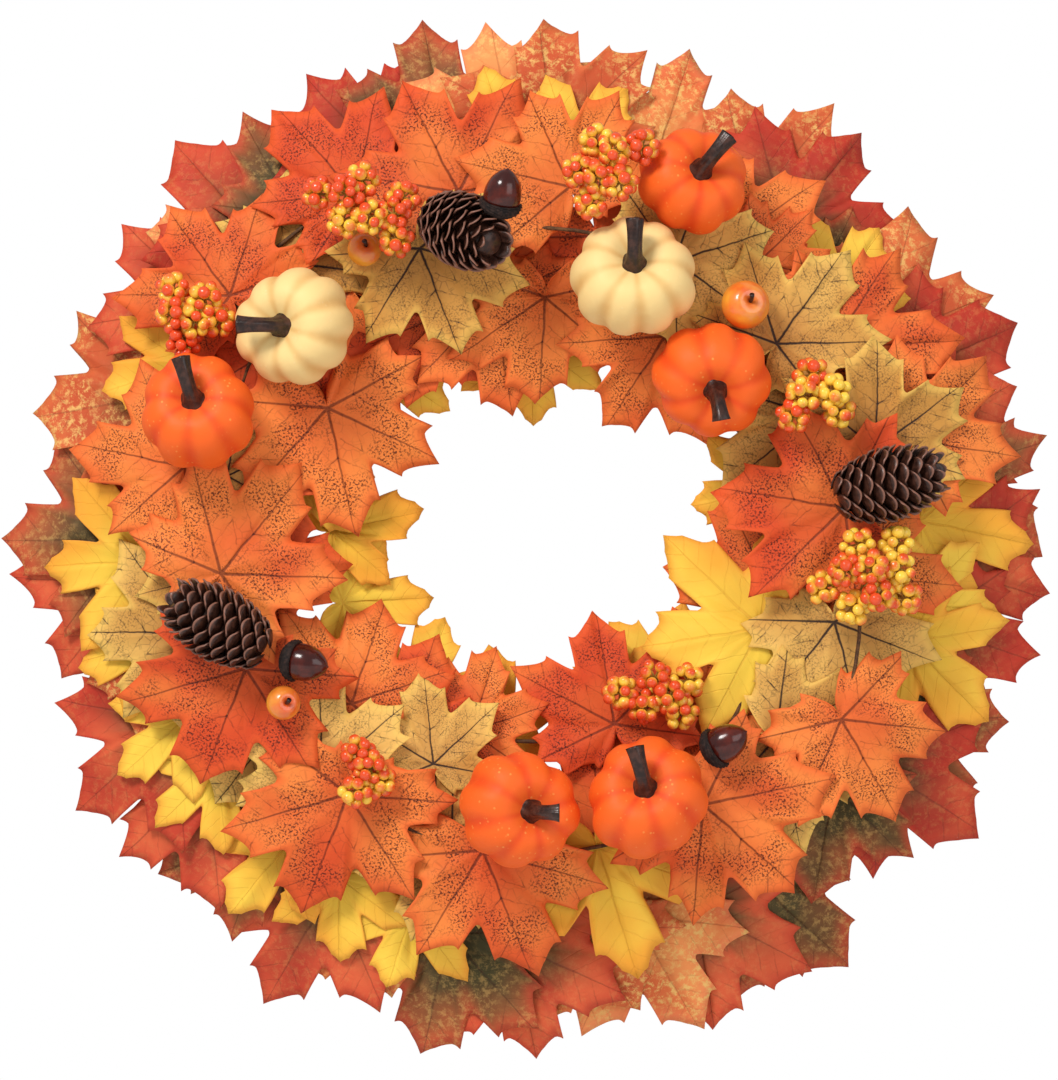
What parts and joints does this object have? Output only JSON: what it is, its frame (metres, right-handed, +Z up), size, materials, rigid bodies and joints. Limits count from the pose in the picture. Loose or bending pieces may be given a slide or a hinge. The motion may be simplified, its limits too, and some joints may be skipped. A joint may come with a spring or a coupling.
{
  "type": "door wreath",
  "caption": "Round harvest door wreath: vine ring with maple leaf sprays, small pumpkins, pine cones, acorns and berries, and a swinging wire hanger at the back.",
  "frame": {"origin": "where a hook bears on the inner top of the vine bundle, level with the bundle's centre", "axes": "+Z up, front facing -Y, +X to the right as seen from the front"},
  "size_m": [0.5008, 0.1079, 0.5017],
  "materials": {
    "vine_bark": "rough bark",
    "tie_wire": "matt",
    "hanger_wire": "satin",
    "red_leaf": "printed fabric",
    "yellow_leaf": "printed fabric",
    "orange_leaf": "printed fabric",
    "tan_leaf": "printed fabric",
    "pumpkin_orange": "satin",
    "pumpkin_cream": "satin",
    "stem_brown": "satin",
    "cone_scale": "varnished",
    "acorn_shell": "gloss",
    "acorn_cap": "rough",
    "apple_skin": "gloss",
    "berry_skin": "gloss"
  },
  "bodies": {
    "ring": {"acorn_1_cap": "acorn_cap", "acorn_1_nut": "acorn_shell", "acorn_2_cap": "acorn_cap", "acorn_2_nut": "acorn_shell", "acorn_3_cap": "acorn_cap", "acorn_3_nut": "acorn_shell", "apple_1": "apple_skin", "apple_2": "apple_skin", "apple_3": "apple_skin", "berry_cluster_1": "berry_skin", "berry_cluster_2": "berry_skin", "berry_cluster_3": "berry_skin", "berry_cluster_4": "berry_skin", "berry_cluster_5": "berry_skin", "berry_cluster_6": "berry_skin", "berry_cluster_7": "berry_skin", "orange_spray_1": "orange_leaf", "orange_spray_2": "orange_leaf", "orange_spray_3": "orange_leaf", "orange_spray_4": "orange_leaf", "orange_spray_5": "orange_leaf", "orange_spray_6": "orange_leaf", "pine_cone_1": "cone_scale", "pine_cone_2": "cone_scale", "pine_cone_3": "cone_scale", "pumpkin_1": "pumpkin_orange", "pumpkin_1_stem": "stem_brown", "pumpkin_2": "pumpkin_cream", "pumpkin_2_stem": "stem_brown", "pumpkin_3": "pumpkin_orange", "pumpkin_3_stem": "stem_brown", "pumpkin_4": "pumpkin_cream", "pumpkin_4_stem": "stem_brown", "pumpkin_5": "pumpkin_orange", "pumpkin_5_stem": "stem_brown", "pumpkin_6": "pumpkin_orange", "pumpkin_6_stem": "stem_brown", "pumpkin_7": "pumpkin_orange", "pumpkin_7_stem": "stem_brown", "red_spray_1": "red_leaf", "red_spray_2": "red_leaf", "red_spray_3": "red_leaf", "red_spray_4": "red_leaf", "red_spray_5": "red_leaf", "red_spray_6": "red_leaf", "tan_spray_1": "tan_leaf", "tan_spray_2": "tan_leaf", "tan_spray_3": "tan_leaf", "tie_wire_1": "tie_wire", "tie_wire_2": "tie_wire", "tie_wire_3": "tie_wire", "under_spray_1": "orange_leaf", "vine_strand_1": "vine_bark", "vine_strand_2": "vine_bark", "vine_strand_3": "vine_bark", "yellow_spray_1": "yellow_leaf", "yellow_spray_2": "yellow_leaf", "yellow_spray_3": "yellow_leaf", "yellow_spray_4": "yellow_leaf"},
    "hanger": {"wire_hanger": "hanger_wire"}
  },
  "joints": [
    {"name": "hanger_swing", "type": "hinge", "parent": "ring", "child": "hanger", "pos_m": [0, 0, 0.0125], "axis": [1, 0, 0], "range_deg": [0, 160]}
  ]
}
